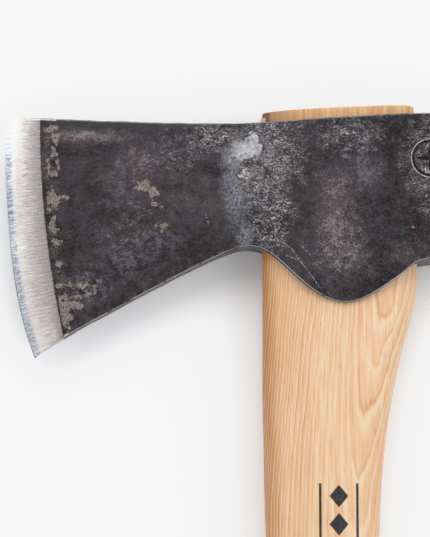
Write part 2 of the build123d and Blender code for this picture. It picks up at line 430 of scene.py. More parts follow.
# ---- Forged steel ----
def scale_skin(f, broad, cloud, grain, fine):
    """The colour of the forge scale: nearly black, a little purple, and paler where it is rubbed."""
    light_zones = f.total_of(f.soft_spot, [
        (-82.0, 16.0, 20.0, 3.6, 0.75),
        (-70.0, 5.0, 15.0, 16.0, 0.34),
        (-52.0, 10.0, 26.0, 14.0, 0.34),
        (-47.0, -8.0, 22.0, 14.0, 0.26),
        (-68.0, -19.0, 18.0, 16.0, 0.22),
        (-25.0, 8.0, 15.0, 25.0, 0.75),
        (-2.0, -6.0, 10.0, 19.0, 0.44),
        (0.0, -22.0, 15.0, 16.0, 0.44),
        (8.0, 3.0, 11.0, 12.0, 0.42),
        (-4.0, -30.0, 16.0, 14.0, 0.22),
        (34.0, -2.0, 12.0, 24.0, 0.16),
        (3.0, 15.0, 12.0, 6.0, 0.30),
        (31.0, 12.0, 8.0, 12.0, 0.16),
        (22.0, -25.0, 9.0, 6.0, 0.22),
    ])
    rough = f.most_of(f.soft_spot, [
        (-22.5, 2.0, 17.0, 26.0, 1.0),
        (-50.0, 10.0, 16.0, 14.0, 1.0),
        (-66.0, -18.0, 18.0, 18.0, 1.0),
        (0.0, -20.0, 14.0, 20.0, 1.0),
        (3.0, 16.0, 14.0, 8.0, 1.0),
        (31.0, 4.0, 9.0, 22.0, 1.0),
    ])
    clouds = 1.10 * (cloud - 0.5) * f.scale(rough, 0.7, 1.1)
    texture = (1.90 * (grain - 0.5) + 1.70 * (fine - 0.5)) * f.scale(rough, 0.55, 1.1)
    level = light_zones + 0.70 * (broad - 0.5) + clouds + texture + 0.15
    skin = f.mix(f.step(level, -0.1, 0.5), tint(10, 7, 9), tint(62, 55, 60))
    skin = f.mix(f.step(level, 0.45, 1.0), skin, tint(134, 126, 129))

    warm_spots = f.most_of(f.soft_spot, [
        (-54.5, 2.5, 2.2, 3.2, 1.0),
        (-44.0, 0.5, 3.4, 2.8, 1.0),
        (-2.0, -12.0, 10.0, 20.0, 0.5),
    ])
    warm = f.most(warm_spots, 0.3 * f.step(f.noise(f.place, 0.11), 0.52, 0.68))
    skin = f.mix(0.5 * warm * f.step(grain, 0.3, 0.6), skin, tint(98, 82, 74))
    blue = f.most_of(f.soft_spot, [
        (-73.0, -2.0, 5.0, 10.0, 1.0),
        (-82.0, -33.0, 10.0, 9.0, 1.0),
        (-60.0, -19.0, 9.0, 7.0, 1.0),
        (-70.0, -25.0, 11.0, 7.0, 1.0),
        (7.0, 3.0, 7.0, 9.0, 0.8),
    ])
    blue = 0.8 * blue * f.step(cloud + grain, 0.9, 1.12)
    return f.mix(blue, skin, tint(88, 88, 100))


def crust_zones(f, cloud):
    """How densely the scale is broken, and where the neck's relief lies, with its painted highlight on
    each crest, 0 to 1.
    """
    density = f.most_of(f.spot, [
        (-22.5, 8.0, 15.0, 19.0, 1.0),
        (-22.5, -10.0, 9.0, 16.0, 1.0),
        (-40.0, 15.5, 9.0, 6.0, 1.0),
        (-2.0, -6.0, 7.0, 17.0, 0.6),
        (0.0, -21.0, 14.0, 15.0, 1.1),
        (5.0, 14.5, 12.0, 6.0, 0.7),
        (31.0, 2.0, 10.0, 24.0, 0.75),
        (22.0, -26.0, 9.0, 7.0, 0.6),
        (-64.0, -12.0, 18.0, 20.0, 0.45),
        (-82.0, 16.2, 17.0, 3.4, 0.6),
        (-50.0, -4.0, 20.0, 14.0, 0.45),
        (-81.0, -32.0, 10.0, 12.0, 0.45),
    ])
    neck_relief = f.most_of(f.spot, [
        (-25.0, 8.0, 14.0, 18.0, 1.0),
        (-23.0, -10.0, 8.0, 15.0, 1.0),
        (-41.0, 15.5, 9.0, 6.0, 0.8),
        (3.0, 15.0, 11.0, 6.0, 0.45),
        (30.0, 6.0, 9.0, 16.0, 0.6),
    ])
    density = f.step(density + cloud - 0.5, -0.15, 0.7)
    return density, f.step(neck_relief + 1.2 * (cloud - 0.5), -0.15, 0.6)


def crust(f, cloud, grain, fine, density, neck_relief):
    """Pale specks and streaks in the broken scale, and the masks for a painted highlight along each
    crest and a painted shadow in the fold just below it, from 0 to 1.
    """
    specks = f.step(grain - f.scale(density, 0.72, 0.60), 0.0, 0.10) * f.scale(neck_relief, 1.0, 0.6)
    dots = f.step(fine - f.scale(density, 0.70, 0.62), 0.0, 0.08) * f.scale(neck_relief, 1.0, 0.4)
    streaks = f.step(f.stretched_noise((1.5, 0.30, 0.0), 3.0, 0.7), 0.50, 0.62)
    streaks = streaks * f.soft_spot(-0.5, -19.0, 10.0, 16.0) * f.step(fine, 0.42, 0.56)
    pale = f.most(specks, 0.7 * dots, 0.9 * streaks)

    # Painted light: a bright line along each crest, and a dark line from the same folds moved a little
    # in Y, so it lies just below, as shade from light above.
    place = f.vector("MULTIPLY", f.place, (0.42, 0.78, 0.5))
    below = f.vector("ADD", place, (0.0, 0.24, 0.0))
    folds = neck_relief * f.step(cloud, 0.34, 0.50)
    crest_highlights = folds * f.bands(f.noise(place, 1.0, 2.0, 0.5, 1.6), 0.02, 0.14)
    crease_shadows = folds * f.bands(f.noise(below, 1.0, 2.0, 0.5, 1.6), 0.05, 0.18)
    return pale, crest_highlights, crease_shadows


def flaked_patches(f, ragged, fine, from_grind):
    """Bare brownish-grey steel beside the grind line and in a few spots on the cheek, and its rims."""
    zones = f.most_of(f.spot, [
        (-95.8, 18.0, 3.0, 1.1, 1.0),
        (-93.2, 15.4, 1.4, 2.4, 1.0),
        (-94.4, 10.4, 1.2, 2.2, 1.0),
        (-92.9, 6.6, 0.9, 2.6, 1.0),
        (-94.8, 3.6, 1.9, 0.9, 1.0),
        (-95.9, 6.2, 0.9, 2.2, 1.0),
        (-94.2, -5.6, 2.4, 3.8, 1.0),
        (-91.6, -5.0, 2.4, 0.9, 1.0),
        (-94.0, -14.3, 1.2, 3.2, 1.0),
        (-92.8, -20.0, 1.7, 1.5, 1.0),
        (-92.2, -27.4, 1.3, 1.8, 1.0),
        (-92.2, -33.6, 1.2, 0.9, 1.0),
        (-90.2, -42.6, 3.0, 6.0, 1.0),
        (-86.6, -40.0, 3.8, 2.0, 1.0),
        (-64.4, -1.0, 2.6, 2.2, 1.0),
        (-61.2, -3.2, 2.2, 2.0, 1.0),
        (-60.6, -7.0, 2.0, 2.4, 0.5),
        (-58.6, -14.6, 1.8, 1.6, 0.5),
        (-84.0, -35.0, 5.0, 2.6, 0.25),
    ])
    ring = 1 - abs(3.0 * f.spot(-58.8, 10.1, 1.5, 1.5) - 1.2)
    edge = f.most(zones, 0.5 * ring) + 3.2 * ragged - 1.72
    flakes = f.step(edge, -0.05, 0.30) * f.step(zones, -0.5, 0.0)
    flakes = flakes * f.step(from_grind, 0.3, 0.9) * (1 - 0.7 * f.step(fine, 0.60, 0.68))
    return flakes, flakes * (1 - f.step(edge, 0.1, 0.45))


def neck_steel(f, ragged, grain):
    """Smooth blue-grey steel down the neck: a faint band, a bright flaked patch, and its sunk rim with
    a painted shadow on its upper side and a painted highlight on the flap's lower rim.
    """
    band = f.most_of(f.soft_spot, [
        (-34.0, -2.0, 7.0, 25.0, 0.9),
        (-31.0, -18.0, 5.0, 9.0, 0.9),
        (-36.0, 8.0, 6.0, 9.0, 0.8),
    ])
    band = band * f.step(band + ragged, 0.45, 1.1)
    wave = 2.4 * (f.noise(f.vector("ADD", f.place, (5.0, 2.0, 9.0)), 0.28, 4.0) - 0.5)
    patch_zone = f.squarish_spot(-30.7, 10.8, 5.2, 5.0) + wave
    patch = f.step(patch_zone, 0.04, 0.20) * f.scale(f.step(f.x, -36.5, -30.0), 0.35, 1.0)
    flap_zone = f.spot(-28.4, 2.0, 5.2, 5.0, torn=False) + 0.7 * wave
    flap_rim = (1 - f.step(abs(flap_zone - 0.1), 0.04, 0.14)) * f.step(ragged, 0.36, 0.5)
    upper = f.step(f.y, -1.2, 1.2)
    patch_rim = f.step(patch_zone, -0.1, -0.02) * (1 - f.step(patch_zone, 0.0, 0.08))
    # Painted shadow along the upper rims of the flap and the patch, which the height also sinks a
    # little.
    groove_shadow = f.most(flap_rim * upper, patch_rim * f.step(f.x, -32.5, -30.5))
    # A painted highlight along the flap's lower rim, and bright spots on the bare steel.
    bright = f.most(
        flap_rim * (1 - upper) * f.step(f.x, -31.5, -29.5),
        1.6 * f.soft_spot(-31.6, 2.2, 2.8, 4.6) * f.step(flap_zone, 0.1, 0.2),
        0.6 * f.soft_spot(-33.4, 10.0, 3.4, 6.0) * f.step(patch_zone, -0.3, 0.1),
    )
    bright = f.math("MINIMUM", bright * f.step(grain, 0.40, 0.56), 1.0)
    return band, patch * (1 - groove_shadow), groove_shadow, bright


def forge_lines(f, grain):
    """Fine pale lines that the hammer left on the lobe and the cheek."""
    lines = [
        (-20.6, -19.0, -16.0, -22.6, 0.45),
        (-16.0, -22.6, -11.4, -29.0, 0.42),
        (-11.4, -29.0, -6.2, -36.0, 0.36),
        (-17.6, -24.8, -14.2, -26.2, 0.40),
        (-12.4, -22.0, -9.8, -25.0, 0.40),
        (-19.2, 3.4, -13.8, 9.4, 0.34),
        (-22.8, -19.2, -19.4, -12.6, 0.40),
        (-79.0, -19.5, -74.5, -16.5, 0.30),
        (-44.0, -9.8, -42.8, -14.2, 0.30),
    ]
    return f.most(*[f.line(*line) for line in lines]) * f.step(grain, 0.46, 0.58)


def ground_bevel(f, ragged, fine):
    """Satin ground steel with scratches square to the edge, and a finer, cooler honed strip, with
    painted highlight and painted shade laid over both.
    """
    from_edge, along_edge = f.attribute("from_edge"), f.attribute("along_edge")
    streaks = f.noise(f.join(0.10 * from_edge, 1.5 * along_edge, 0.0), 1.0, 2.0, 0.6)
    short_streaks = f.noise(f.join(0.38 * from_edge, 2.3 * along_edge, 9.0), 1.0, 2.0, 0.6)
    streak = 0.45 * streaks + 0.55 * short_streaks
    ground = f.mix(f.step(streak, 0.30, 0.70), tint(172, 164, 162), tint(222, 215, 212))
    # Painted shade: the ground face grows darker towards the grind line.
    ground = f.mix(0.30 * f.step(from_edge, 6.5, 12.5), ground, tint(144, 135, 132))
    # Painted highlight: a paler band just beyond the honed strip.
    pale = f.step(from_edge, 2.2, 3.0) * (1 - f.step(from_edge, 3.6, 6.5))
    ground = f.mix(0.35 * pale, ground, tint(218, 215, 212))
    # Painted shade: the outer part of the ground face is darkened about the middle of the edge's
    # length.
    middle = 1 - f.step(abs(f.y + 2.0), 9.0, 19.0)
    outer = 1 - f.step(from_edge, 3.5, 6.5)
    ground = f.mix(0.5 * middle * outer, ground, tint(158, 157, 160))

    marks = f.step(0.5 * short_streaks + 0.5 * fine, 0.42, 0.58)
    # Painted light on the honed strip: lighter near the top as a painted highlight, darker about the
    # middle as painted shade.
    upper_honed = f.mix(marks, tint(140, 145, 157), tint(204, 208, 216))
    middle_honed = f.mix(marks, tint(84, 88, 100), tint(160, 163, 172))
    lower_honed = f.mix(marks, tint(124, 128, 139), tint(190, 193, 200))
    honed_colour = f.mix(1 - f.step(f.y, 0.0, 13.0), upper_honed, lower_honed)
    honed_colour = f.mix(0.7 * middle, honed_colour, middle_honed)
    honed = 1 - f.step(from_edge + 1.6 * ragged, 2.2, 4.0)
    ground = f.mix(honed, ground, honed_colour)
    burr = (1 - f.step(from_edge, 0.12, 0.42)) * (1 - f.step(f.y, -25.0, 0.0))
    return f.mix(0.7 * burr, ground, tint(92, 92, 100)), streak


def rim_with_painted_light(f, cheek, grain):
    """The rim round the cheek: its chamfer darkened as painted shade, a painted highlight along the
    cheek beside it, and bare metal where it is worn, painted near white as a highlight as well. Gives
    the colour and the worn, highlighted places.
    """
    from_rim, on_rim = f.attribute("from_rim"), f.attribute("on_rim")
    wear_and_highlight = on_rim * f.step(f.noise(f.place, 0.45, 3.0), 0.25, 0.5) * f.step(from_rim, 0.12, 0.36)
    edge_highlight = 0.5 * (1 - f.step(from_rim, 0.2, 1.3)) * f.step(grain, 0.5, 0.68) * (1 - on_rim)
    # Painted shade on the chamfer.
    cheek = f.mix(0.7 * on_rim, cheek, tint(30, 26, 29))
    # Painted highlight along the cheek's edge.
    cheek = f.mix(edge_highlight, cheek, tint(140, 134, 138))
    # Worn bare metal, painted near white: partly worn steel, partly a painted highlight.
    return f.mix(0.95 * wear_and_highlight, cheek, tint(226, 220, 225)), wear_and_highlight


def crusted_colour(f, cheek, cloud, grain, crusted, crest_highlights, crease_shadows, neck_relief):
    """Adds the broken scale's pale specks, a painted shadow in each fold below a crest and a painted
    highlight on each crest.
    """
    pale = f.mix(f.step(cloud, 0.4, 0.6), tint(116, 108, 110), tint(172, 164, 160))
    pale = f.mix(0.75 * neck_relief, pale, tint(206, 200, 202))
    cheek = f.mix(0.75 * crusted, cheek, pale)
    # Painted shadow in the fold below each crest.
    cheek = f.mix(0.7 * crease_shadows, cheek, tint(34, 31, 33))
    # Painted highlight on each crest, stronger where the grain is high.
    shine = f.scale(f.step(grain, 0.40, 0.60), 0.25, 0.95)
    return f.mix(crest_highlights * shine, cheek, tint(218, 211, 214))


def neck_colour(f, cheek, cloud, grain, band, patch, groove_shadow, bright):
    """Adds the neck's blue-grey band and its flaked patch, with bright spots, a painted highlight and a
    dark painted shadow along the sunk rims.
    """
    blue_steel = f.mix(f.step(grain, 0.35, 0.65), tint(82, 84, 90), tint(146, 149, 157))
    mottled = f.step(cloud + 0.4 * grain, 0.5, 0.9)
    patch_steel = f.mix(mottled, tint(132, 134, 138), tint(190, 191, 195))
    cheek = f.mix(0.85 * band, cheek, blue_steel)
    cheek = f.mix(0.92 * patch, cheek, patch_steel)
    # Bright spots with the painted highlight, then the painted shadow along the rims.
    cheek = f.mix(0.8 * bright, cheek, tint(206, 200, 194))
    return f.mix(0.85 * groove_shadow, cheek, tint(24, 22, 24))


def flaked_colour(f, cheek, cloud, grain, fine, flakes, flake_rim, from_grind):
    """Adds the flaked patches with their paler rims, and flecks beside the grind line."""
    flaked = f.mix(f.step(grain, 0.36, 0.62), tint(88, 80, 76), tint(158, 146, 137))
    flaked = f.mix(0.5 * flake_rim, flaked, tint(190, 178, 166))
    cheek = f.mix(0.9 * flakes, cheek, flaked)
    beside = f.step(from_grind, 0.4, 1.5) * (1 - f.step(from_grind, 3.0, 7.5))
    flecks = beside * f.step(fine, 0.56, 0.64) * f.step(cloud, 0.44, 0.58)
    return f.mix(0.8 * flecks, cheek, tint(150, 142, 130))


def small_marks(f, cheek, grain, fine, strip):
    """Adds the hammer's lines, the dark strip under the top edge, a rust spot and the struck mark."""
    cheek = f.mix(0.5 * forge_lines(f, grain), cheek, tint(190, 184, 180))
    cheek = f.mix(0.85 * strip, cheek, tint(36, 32, 34))
    rust = f.spot(23.5, -15.7, 0.6, 0.45, torn=False) + 2.0 * (fine - 0.5)
    cheek = f.mix(f.step(rust, 0.1, 0.5), cheek, tint(196, 118, 84))

    # The struck mark has painted shade in its grooves and a painted highlight on its lip
    struck = f.attribute("struck")
    lip = f.step(1 - struck, 1.06, 1.20) * f.step(grain, 0.34, 0.50)
    cheek = f.mix(f.step(struck, 0.15, 0.7), cheek, tint(20, 18, 20))
    return f.mix(lip, cheek, tint(196, 192, 194))


def forged_steel():
    """Black forge scale with bare patches on the cheeks, and satin ground bevels at the bit."""
    f = Finish("forged_steel")
    broad = f.noise(f.place, 0.085, 3.0, 0.55)
    cloud = f.noise(f.place, 0.34, 4.0, 0.6)
    grain = f.noise(f.place, 1.35, 3.0, 0.75)
    fine = f.noise(f.vector("ADD", f.place, (31.0, 7.0, 3.0)), 2.6, 2.0, 0.7)
    ragged = f.noise(f.place, 0.55, 5.0, 0.65)
    lumps = f.noise(f.place, 0.75, 1.0, 0.4, 1.0)

    from_grind = f.attribute("from_grind")
    strip = (1 - f.step(f.attribute("from_top"), 1.7, 2.5)) * (1 - f.step(f.x, -62.0, -52.0))
    density, neck_relief = crust_zones(f, cloud)
    crusted, crest_highlights, crease_shadows = crust(f, cloud, grain, fine, density, neck_relief)
    band, patch, groove_shadow, bright = neck_steel(f, ragged, grain)
    flakes, flake_rim = flaked_patches(f, ragged, fine, from_grind)

    cheek = scale_skin(f, broad, cloud, grain, fine)
    cheek = crusted_colour(f, cheek, cloud, grain, crusted, crest_highlights, crease_shadows, neck_relief)
    cheek = neck_colour(f, cheek, cloud, grain, band, patch, groove_shadow, bright)
    cheek = flaked_colour(f, cheek, cloud, grain, fine, flakes, flake_rim, from_grind)
    cheek, wear_and_highlight = rim_with_painted_light(f, small_marks(f, cheek, grain, fine, strip), grain)
    ground, streak = ground_bevel(f, ragged, fine)
    bare = 1 - f.step(from_grind + 0.7 * f.noise(f.place, 0.8, 4.0, 0.6), 0.27, 0.45)
    colour = f.mix(bare, cheek, ground)
    metal = f.most(0.85 * patch, 0.5 * band, 0.5 * bright, 0.4 * crusted, 0.3 * flakes, 0.3 * wear_and_highlight)
    cheek_rough = f.scale(f.step(grain, 0.35, 0.65), 0.32, 0.50) - 0.08 * f.most(band, patch)
    roughness = cheek_rough * (1 - bare) + f.scale(streak, 0.24, 0.28) * bare

    skin_height = f.total(
        (cloud - 0.5) * f.scale(density, 0.08, 0.40),
        (grain - 0.5) * f.scale(density, 0.05, 0.30),
        (fine - 0.5) * f.scale(density, 0.02, 0.14),
        0.9 * (lumps - 0.5) * neck_relief,
        0.12 * (crest_highlights - crease_shadows),
        0.04 * crusted,
        -0.05 * flakes,
        -0.07 * f.most(patch, groove_shadow),
        0.08 * strip * (0.5 - grain),
    )
    skin_height = skin_height * (1 - 0.93 * f.most(patch, 0.6 * band))
    height = skin_height * (1 - bare) + 0.004 * streak * bare
    f.shader.inputs["Specular IOR Level"].default_value = 0.26
    f.shader.inputs["Specular Tint"].default_value = (1.0, 0.95, 0.98, 1.0)
    return f.finish(colour, roughness, f.most(bare, metal), height)


# ---- Wood, staple steel and paper ----
def growth_rings(f, ripple):
    """How many growth rings lie between a point and the pith, a slanting line above the handle."""
    wander = f.stretched_noise((0.05, 0.016, 0.05))
    across = f.x - 0.12 * f.y + 6.0 * wander - 23.0
    depth = 4.0 * wander - 0.085 * f.y - 0.5 * f.z + 16.5
    distance = f.math("SQRT", across * across + depth * depth) + 0.8 * ripple - 0.4
    spacing = f.noise(f.join(0.22 * distance, 0.0, 0.0), 1.0, 1.0)
    return 0.45 * distance + 0.0085 * distance * distance + 2.2 * spacing


def stained_tongue(f, ripple):
    """The tongue above the head, stained darker where it was driven through the eye, with painted shade
    at its front end.
    """
    bands = f.step(f.stretched_noise((0.9, 0.05, 0.9), 3.0, 0.6), 0.36, 0.66)
    lines = f.step(f.stretched_noise((1.7, 0.0, 1.7)), 0.6, 0.7)
    # Painted shade at the tongue's front end, where its rounded end turns away.
    front = 1 - f.step(f.x + 3.0 * ripple, -20.0, -8.0)
    end = 1 - f.step(f.x + 1.5 * ripple, -22.6, -21.6)
    colour = f.mix(bands, tint(222, 162, 100), tint(240, 202, 148))
    colour = f.mix(0.6 * lines, colour, tint(160, 96, 48))
    colour = f.mix(0.75 * front, colour, tint(170, 108, 52))
    return f.mix(0.85 * end, colour, tint(96, 58, 34))


def printed_mark(f):
    """A printed mark without lettering, on the upper side only: diamonds between two rules."""
    cell = f.math("FRACT", 0.5 - (f.y - FIRST_DIAMOND) / DIAMOND_PITCH) - 0.5
    diamonds = 1 - f.step(abs((f.x + 1.0) / 3.2) + abs(cell / 0.42), 0.9, 1.02)
    rules = 1 - f.step(abs(abs(f.x + 1.0) - 6.0), 0.35, 0.5)
    span = f.step(f.y, -139.0, -138.6) * (1 - f.step(f.y, -98.6, -98.2)) * f.step(f.z, MID, MID + 1.0)
    worn = f.scale(f.step(f.noise(f.place, 2.0, 3.0, 0.6), 0.28, 0.42), 0.72, 1.0)
    return f.most(diamonds, rules) * span * worn


def hickory():
    """Pale hickory: growth rings cut at a slant, so they run straight in front and arch behind."""
    f = Finish("hickory")
    ripple = f.stretched_noise((0.5, 0.03, 0.5))
    rings = growth_rings(f, ripple)
    ring = f.math("FRACT", rings)
    ring_tone = f.noise(f.join(0.73 * f.math("FLOOR", rings), 0.0, 4.0), 1.0, 0.0)
    patchy = f.stretched_noise((0.09, 0.03, 0.09))
    late = f.most(0.5 * f.step(ring, 0.20, 0.95), f.step(ring, 0.72, 0.90))
    late = late * (1 - f.step(ring, 0.94, 1.0)) * f.scale(f.step(ring_tone, 0.3, 0.7), 0.25, 1.0)
    late = late * f.scale(f.step(patchy, 0.35, 0.6), 0.45, 1.0)
    fibres = f.stretched_noise((2.0, 0.06, 2.0), 3.0, 0.55)
    pores = f.step(f.stretched_noise((3.4, 0.24, 3.4)), 0.60, 0.70) * f.scale(late, 0.35, 1.0)
    cloud = f.stretched_noise((0.12, 0.02, 0.12))

    colour = f.mix(f.step(fibres, 0.3, 0.7), tint(230, 182, 132), tint(240, 209, 174))
    colour = f.mix(0.45 * f.step(cloud, 0.42, 0.66), colour, tint(222, 168, 120))
    strong = f.scale(1 - f.step(f.x, -22.0, 0.0), 0.65, 1.0)
    colour = f.mix(late * strong, colour, tint(202, 136, 74))
    # Warmer and darker towards the left side: partly the wood's own tone, partly painted shade where
    # the rounded side turns away from the light.
    front = 1 - f.step(f.x + 7.0 * ripple, -23.0, -8.0)
    colour = f.mix(0.6 * front, colour, tint(214, 148, 76))
    side = 1 - f.step(f.x + 4.0 * ripple, -24.0, -16.0)
    colour = f.mix(0.8 * side, colour, tint(184, 110, 32))
    early = 0.5 * f.step(ring, 0.0, 0.10) * (1 - f.step(ring, 0.14, 0.40))
    colour = f.mix(early, colour, tint(240, 216, 184))
    colour = f.mix(0.55 * pores, colour, tint(168, 106, 58))

    # End grain at the tongue's top and the knob's end is darker
    normal = f.node("ShaderNodeNewGeometry", {}, "Normal")
    end_grain = f.step(abs(f.split(normal)[1]), 0.75, 0.95)
    end_pores = f.step(f.noise(f.place, 2.4, 3.0, 0.6), 0.52, 0.66)
    end_colour = f.mix(0.5 * end_pores, tint(196, 142, 88), tint(128, 82, 46))
    end_colour = f.mix(0.5 * late, end_colour, tint(150, 98, 56))
    colour = f.mix(end_grain, colour, end_colour)
    tongue = 0.92 * f.step(f.y, 17.0, 19.5) * (1 - end_grain)
    colour = f.mix(tongue, colour, stained_tongue(f, ripple))
    colour = f.mix(printed_mark(f), colour, tint(28, 27, 27))

    height = 0.035 * (fibres - 0.5) - 0.03 * pores + 0.012 * late
    f.shader.inputs["Specular IOR Level"].default_value = 0.45
    return f.finish(colour, f.scale(fibres, 0.40, 0.56), 0.0, height)


def wedge_wood():
    """Paler, plainer wood than the handle's, sawn along its fibres."""
    f = Finish("wedge_wood")
    fibres = f.stretched_noise((1.8, 0.12, 1.8), 4.0, 0.6)
    saw_marks = f.stretched_noise((0.3, 3.0, 0.3))
    colour = f.mix(f.step(fibres, 0.3, 0.7), tint(222, 184, 134), tint(244, 218, 178))
    colour = f.mix(0.3 * f.step(saw_marks, 0.5, 0.7), colour, tint(196, 150, 98))
    return f.finish(colour, 0.6, 0.0, 0.04 * fibres + 0.03 * saw_marks)


def staple_steel():
    """Satin wire-drawn steel, scuffed by the hammer."""
    f = Finish("staple_steel")
    drawn = f.stretched_noise((0.6, 3.0, 0.6), 3.0, 0.6)
    scuffs = f.noise(f.place, 1.4, 3.0, 0.6)
    colour = f.mix(f.step(drawn, 0.3, 0.7), tint(150, 150, 153), tint(196, 196, 199))
    colour = f.mix(0.6 * f.step(scuffs, 0.56, 0.7), colour, tint(96, 90, 86))
    return f.finish(colour, f.scale(scuffs, 0.28, 0.48), 1.0, 0.05 * scuffs)


def floor_paper():
    """The floor's matt white paper."""
    f = Finish("floor_paper")
    cloud = f.noise(f.place, 0.01, 1.0)
    f.shader.inputs["Specular IOR Level"].default_value = 0.1
    return f.finish(f.mix(cloud, (0.84, 0.84, 0.845, 1.0), (0.86, 0.86, 0.865, 1.0)), 0.9)


# ---- Head ----
head_cad = cad_mesh("axe_head")


def outline_top(x):
    return float(crossing(head_cad, (1, 0, 0), x)[:, 1].max())


def outline_foot(x):
    return float(crossing(head_cad, (1, 0, 0), x)[:, 1].min())


def cutting_edge(y):
    return float(crossing(head_cad, (0, 1, 0), y)[:, 0].min())


class Surface:
    """Half thickness of the CAD head, found by looking straight down on it."""

    def __init__(self):
        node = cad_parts["axe_head"]
        points = [tuple(v.co) for v in node.data.vertices]
        faces = [tuple(p.vertices) for p in node.data.polygons]
        self.tree = BVHTree.FromPolygons(points, faces)

    def half(self, x, y):
        hit = self.tree.ray_cast(Vector((x * MM, y * MM, 1.0)), Vector((0, 0, -1)))[0]
        return 0.0 if hit is None else max(hit.z / MM - MID, 0.0)


def sampled(function, low, high, count):
    """A function's values at evenly spaced places, to interpolate between."""
    places = np.linspace(low, high, count)
    return places, np.array([function(place) for place in places])


def find_grind_line(surface, edge, rows):
    """X of the crease between the ground bevel and the cheek, at each of some rows."""
    found = []
    steps = np.arange(7.0, 16.0, 0.2)
    for y in rows:
        x = np.interp(y, *edge) + steps
        half = np.array([surface.half(value, y) for value in x])
        bend = half[:-4] - 2 * half[2:-2] + half[4:]
        found.append(x[2 + int(np.argmin(bend))])
    fit = np.polyfit(rows, found, 3)
    return lambda y: np.polyval(fit, y)


def coons(foot, top, left, right):
    """A grid of points that fills four boundary curves. Rows run from foot to top."""
    across = np.linspace(0, 1, len(foot))[:, None, None]
    up = np.linspace(0, 1, len(left))[None, :, None]
    ruled = foot[:, None] * (1 - up) + top[:, None] * up
    ruled = ruled + left[None] * (1 - across) + right[None] * across
    corners = foot[0] * (1 - across) * (1 - up) + foot[-1] * across * (1 - up)
    corners = corners + top[0] * (1 - across) * up + top[-1] * across * up
    return ruled - corners


class HeadShape:
    """Outlines of the head in the XY plane, read off the CAD part."""

    def __init__(self):
        self.surface = Surface()
        margin = 0.02
        self.poll = HEAD_HIGH[0]
        toe_y, heel_y = HEAD_LOW[1], HEAD_HIGH[1]
        self.edge = sampled(cutting_edge, toe_y + margin, heel_y - margin, 220)
        self.toe = (float(self.edge[1][0]), toe_y)
        self.heel = (float(self.edge[1][-1]), heel_y)
        self.foot = sampled(outline_foot, self.toe[0] + margin, self.poll - margin, 500)
        self.top = sampled(outline_top, self.heel[0] + margin, self.poll - margin, 400)
        rows = np.linspace(toe_y + 12, heel_y - 4, 24)
        self.grind_x = find_grind_line(self.surface, self.edge, rows)

    def foot_y(self, x):
        return np.interp(x, *self.foot)

    def top_y(self, x):
        return np.interp(x, *self.top)

    def edge_x(self, y):
        return np.interp(y, *self.edge)

    def grind_ends(self):
        """Where the grind line meets the beard and the top of the head."""
        rows = np.linspace(HEAD_LOW[1], HEAD_HIGH[1], 2000)
        x = self.grind_x(rows)
        foot_row = rows[np.argmin(np.abs(self.foot_y(x) - rows))]
        top_row = rows[np.argmin(np.abs(self.top_y(x) - rows))]
        return foot_row, top_row

    def half(self, points):
        """Half thickness under each point, looked up clear of the rim's chamfer."""
        clear = CHAMFER + 0.3
        result = []
        for x, y in points:
            x = min(x, self.poll - clear)
            low = float(self.foot_y(x)) + clear
            high = float(self.top_y(x)) - clear
            result.append(self.surface.half(x, min(max(y, low), high)))
        return np.array(result)


def head_grid(shape, inset):
    """The cheek's grid in the XY plane, inset from the outline for the chamfer, column by column."""
    foot_row, top_row = shape.grind_ends()
    foot_grind, top_grind = shape.grind_x(foot_row), shape.grind_x(top_row)
    poll = shape.poll - inset

    def outline(x, side, fade_in):
        y = shape.foot_y(x) if side == "foot" else shape.top_y(x)
        slope = np.gradient(smooth(y, 3.0), x)
        shift = inset * np.sqrt(1 + slope**2) * fade_in
        return np.stack([x, y + shift if side == "foot" else y - shift], 1)

    def column(x_of_row, low, high):
        y = np.linspace(low, high, ROWS)
        return np.stack([x_of_row(y), y], 1)

    # Ground bevel, from the cutting edge to the grind line
    count = BEVEL_COLUMNS + 1
    share = np.linspace(0, 1, count)
    thin = CHAMFER_AT_GRIND * fade(share, 0.0, 1.0)
    foot = outline(shape.toe[0] + (foot_grind - shape.toe[0]) * share, "foot", thin)
    top = outline(shape.heel[0] + (top_grind - shape.heel[0]) * share, "top", thin)
    foot[0], top[0] = shape.toe, shape.heel
    left = column(shape.edge_x, foot[0][1], top[0][1])
    left[0], left[-1] = foot[0], top[0]
    right = column(shape.grind_x, foot[-1][1], top[-1][1])
    foot[-1], top[-1] = right[0], right[-1]
    bevel = coons(foot, top, left, right)

    # Cheek, from the grind line to the poll; columns are closest beside the grind line
    share = np.linspace(0, 1, CHEEK_COLUMNS + 1)
    share = share * 0.93 + 0.07 * share**2
    full = CHAMFER_AT_GRIND + (1 - CHAMFER_AT_GRIND) * fade(share, 0.0, 0.1)
    foot = outline(right[0][0] + (poll - right[0][0]) * share, "foot", full)
    top = outline(right[-1][0] + (poll - right[-1][0]) * share, "top", full)
    foot[0], top[0] = right[0], right[-1]
    poll_side = column(lambda y: np.full(len(y), poll), foot[-1][1], top[-1][1])
    cheek = coons(foot, top, right, poll_side)
    return np.concatenate([bevel, cheek[1:]])


